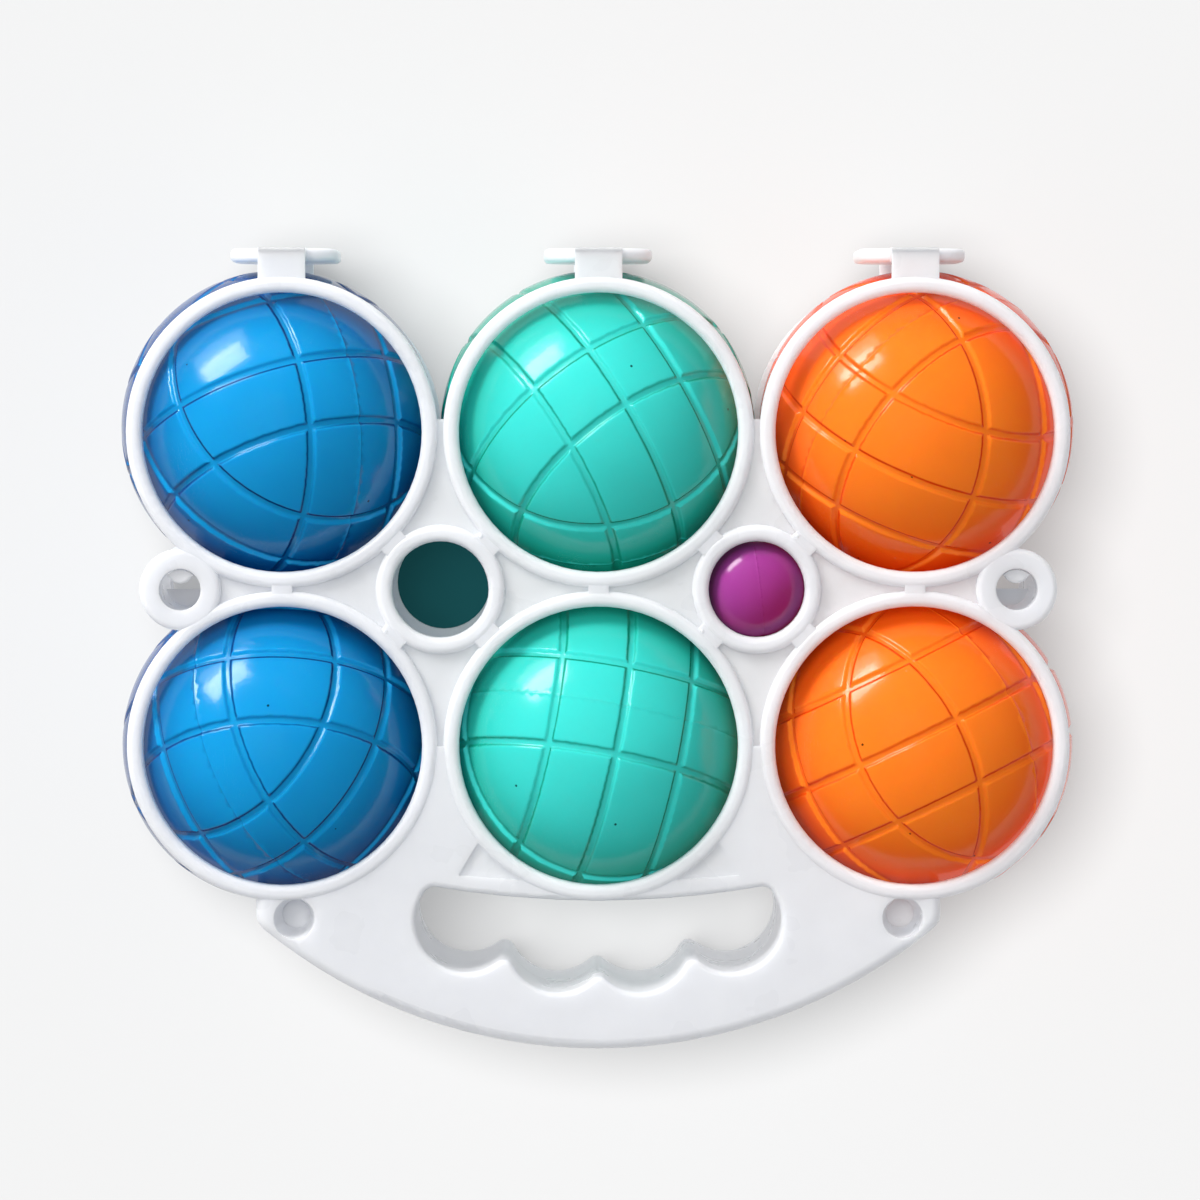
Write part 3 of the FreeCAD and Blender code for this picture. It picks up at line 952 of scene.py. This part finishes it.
@dataclass
class Studio:
    """Camera, lights and floor.

    Args:
        eye: Place of the camera, in metres.
        aim: Point that the camera looks at.
        lens: Focal length in millimetres on a 36 mm wide sensor.
        painted_shade_spot: Place of the floor under the carrier's empty hole where a dark teal patch
            of painted shade is laid.
        overhead: Wide light from above that reaches everything but the floor and the jack.
        floor_light: Tighter light that reaches the floor only and throws the set's shadow.
    """

    eye: tuple[float, float, float] = (-0.0130, 0.06185, 1.3635)
    aim: tuple[float, float, float] = (0.0003, 0.01165, 0.0635)
    lens: float = 166.4
    painted_shade_spot: tuple[float, float] = (-0.0374, 0.0136)
    overhead: SkyLight = SkyLight("overhead", (-0.15, 0.17, 0.97), 2.0, 38.0)
    floor_light: SkyLight = SkyLight("floor_light", (-0.15, 0.09, 0.98), 6.0, 28.0)

    SENSOR_WIDTH: ClassVar[float] = 36.0
    NEAREST: ClassVar[float] = 0.05
    FARTHEST: ClassVar[float] = 20.0
    FLOOR_SIZE: ClassVar[float] = 12.0
    FLOOR_GAP: ClassVar[float] = 0.2 * MM
    FLOOR_TONE: ClassVar[Colour] = (0.30, 0.30, 0.30)
    FLOOR_LIFT: ClassVar[float] = 1.03
    # Colour and outer and inner radii of the painted shade patch on the floor.
    PAINTED_SHADE_TONE: ClassVar[Colour] = (0.004, 0.031, 0.034)
    PAINTED_SHADE_OUTER: ClassVar[float] = 18.0 * MM
    PAINTED_SHADE_INNER: ClassVar[float] = 12.5 * MM
    ROOM_TONE: ClassVar[Colour] = (0.96, 0.98, 1.0)
    ROOM_LEVEL: ClassVar[float] = 0.12
    ROOM_LEVEL_MIRRORED: ClassVar[float] = 0.05

    def camera(self) -> None:
        """Add the camera and make it the scene's camera."""
        data = bpy.data.cameras.new("camera")
        data.lens = self.lens
        data.sensor_width = self.SENSOR_WIDTH
        data.clip_start = self.NEAREST
        data.clip_end = self.FARTHEST
        camera = bpy.data.objects.new("camera", data)
        bpy.context.collection.objects.link(camera)
        camera.location = self.eye
        back = (Vector(self.eye) - Vector(self.aim)).normalized()
        right = Vector((0.0, 1.0, 0.0)).cross(back).normalized()
        upward = back.cross(right)
        camera.rotation_euler = Matrix((right, upward, back)).transposed().to_euler()
        bpy.context.scene.camera = camera

    def softbox(self, lamp: Softbox, pieces: tuple, only: bool) -> None:
        """Add a rectangular area light.

        Args:
            lamp: Its place, size, power and colour.
            pieces: Pieces that it treats apart.
            only: Whether it reaches nothing but them, or everything but them.
        """
        data = bpy.data.lights.new(lamp.name, "AREA")
        data.shape = "RECTANGLE"
        data.size, data.size_y = lamp.size
        data.energy = lamp.watts
        data.color = lamp.colour
        towards = Vector(lamp.direction).normalized()
        light = self.hang(data, towards, lamp.mirrored)
        light.location = Vector(lamp.aim) + towards * lamp.distance
        self.reach(light, pieces, only)

    @staticmethod
    def hang(data: bpy.types.Light, towards: Vector, mirrored: bool) -> bpy.types.Object:
        """Put a light into the scene and turn it.

        Args:
            data: The light's settings.
            towards: Direction from the set to the light.
            mirrored: Whether shiny surfaces mirror it.

        Returns:
            The light.
        """
        light = bpy.data.objects.new(data.name, data)
        bpy.context.collection.objects.link(light)
        light.rotation_euler = towards.to_track_quat("Z", "Y").to_euler()
        light.visible_glossy = mirrored
        return light

    @staticmethod
    def reach(light: bpy.types.Object, pieces: tuple, only: bool) -> None:
        """Let a light reach some pieces only, or everything but them.

        Args:
            light: The light.
            pieces: The pieces in question.
            only: Whether it reaches nothing else, or everything else.
        """
        reached = bpy.data.collections.new(light.name + "_reach")
        for piece in pieces:
            reached.objects.link(piece)
        for entry in reached.collection_objects:
            entry.light_linking.link_state = "INCLUDE" if only else "EXCLUDE"
        light.light_linking.receiver_collection = reached

    def sky(self, lamp: SkyLight, pieces: tuple, only: bool) -> None:
        """Add a far light from above.

        Args:
            lamp: Its direction, strength and spread.
            pieces: Pieces that it treats apart.
            only: Whether it reaches nothing but them, or everything but them.
        """
        data = bpy.data.lights.new(lamp.name, "SUN")
        data.energy = lamp.strength
        data.angle = math.radians(lamp.spread)
        light = self.hang(data, Vector(lamp.direction), False)
        self.reach(light, pieces, only)

    def floor(self) -> bpy.types.Object:
        """Add the even floor under the set, with a dark teal patch of painted shade under the
        carrier's empty hole.

        Returns:
            The floor.
        """
        Edit.clear_selection()
        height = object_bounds()[0].z - self.FLOOR_GAP
        bpy.ops.mesh.primitive_plane_add(size=self.FLOOR_SIZE, location=(0.0, 0.0, height))
        sheet = Edit.adopt("floor")
        paper = bpy.data.materials.new("floor_paper")
        paper.use_nodes = True
        wiring = Wiring(paper.node_tree)
        shader = wiring.nodes["Principled BSDF"]
        shader.inputs["Roughness"].default_value = 0.9
        shader.inputs["Specular IOR Level"].default_value = 0.1
        # Painted shade: a dark teal patch on the floor under the carrier's empty hole, in both the
        # base and the emitted colour.
        away = wiring.nodes.new("ShaderNodeVectorMath")
        away.operation = "DISTANCE"
        away.inputs[1].default_value = (*self.painted_shade_spot, height)
        place = wiring.nodes.new("ShaderNodeTexCoord").outputs["Object"]
        wiring.links.new(place, away.inputs[0])
        shade = wiring.span(away.outputs["Value"], self.PAINTED_SHADE_OUTER, self.PAINTED_SHADE_INNER)
        paper_with_painted_shade = wiring.blend(shade, self.FLOOR_TONE, self.PAINTED_SHADE_TONE)
        wiring.links.new(paper_with_painted_shade, shader.inputs["Base Color"])
        wiring.links.new(paper_with_painted_shade, shader.inputs["Emission Color"])
        shader.inputs["Emission Strength"].default_value = self.FLOOR_LIFT
        sheet.data.materials.append(paper)
        sheet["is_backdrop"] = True
        return sheet

    def surroundings(self) -> None:
        """Set the pale room that fills the shadows."""
        world = bpy.data.worlds.new("room")
        bpy.context.scene.world = world
        world.use_nodes = True
        wiring = Wiring(world.node_tree)
        background = wiring.nodes["Background"]
        background.inputs["Color"].default_value = (*self.ROOM_TONE, 1.0)
        mirrored = wiring.nodes.new("ShaderNodeLightPath").outputs["Is Glossy Ray"]
        level = wiring.span(
            mirrored, 0.0, 1.0, self.ROOM_LEVEL, self.ROOM_LEVEL_MIRRORED, smooth=False
        )
        wiring.links.new(level, background.inputs["Strength"])

    def set_up(self, jack: bpy.types.Object) -> None:
        """Build the whole studio.

        Args:
            jack: The target ball, which sits in the shade of its hole.
        """
        self.camera()
        sheet = self.floor()
        self.surroundings()
        for lamp in LIGHTS:
            self.softbox(lamp, (sheet,), only=False)
        for lamp in JACK_LIGHTS:
            self.softbox(lamp, (jack,), only=True)
        self.sky(self.overhead, (sheet, jack), only=False)
        self.sky(self.floor_light, (sheet,), only=True)


BALLS = (
    GroovedBall("blue_ball_upper", BLUE, "blue_plastic", (-27, 30, 4),
                ((-16, 21), (-26, -1, 29), (-22, 3, 26)), 0, 3),
    GroovedBall("teal_ball_upper", TEAL, "teal_plastic", (-28, 14, 30),
                ((-26, -1, 23), (-25, 0, 34), (-17, 21)), 2, 0),
    GroovedBall("orange_ball_upper", ORANGE, "orange_plastic", (140, -22, 67),
                ((-21, 3, 28), (-8, 19), (-23, 4, 30)), 1, 3),
    GroovedBall("blue_ball_lower", BLUE, "blue_plastic", (143, 35, 90),
                ((-23, 3, 28), (-12, 20), (-30, -8, 18)), 1, 7),
    GroovedBall("teal_ball_lower", TEAL, "teal_plastic", (-15, 8, -12),
                ((-27, -2, 23), (-14, 20), (-27, -3, 22)), 1, 4),
    GroovedBall("orange_ball_lower", ORANGE, "orange_plastic", (128, 2, 116),
                ((-21, 4, 32), (-24, 2, 28), (-22, 17)), 2, 2),
)


def main() -> None:
    """Build the studio, dress the carrier, and model the balls and the jack."""
    logging.basicConfig(level=logging.INFO, format="%(name)s %(message)s")
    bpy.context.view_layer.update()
    bpy.context.scene.view_settings.view_transform = "Standard"
    Carrier().dress()
    for ball in BALLS:
        ball.dress()
    Studio().set_up(Jack().dress())


if __name__ == "__main__":
    main()
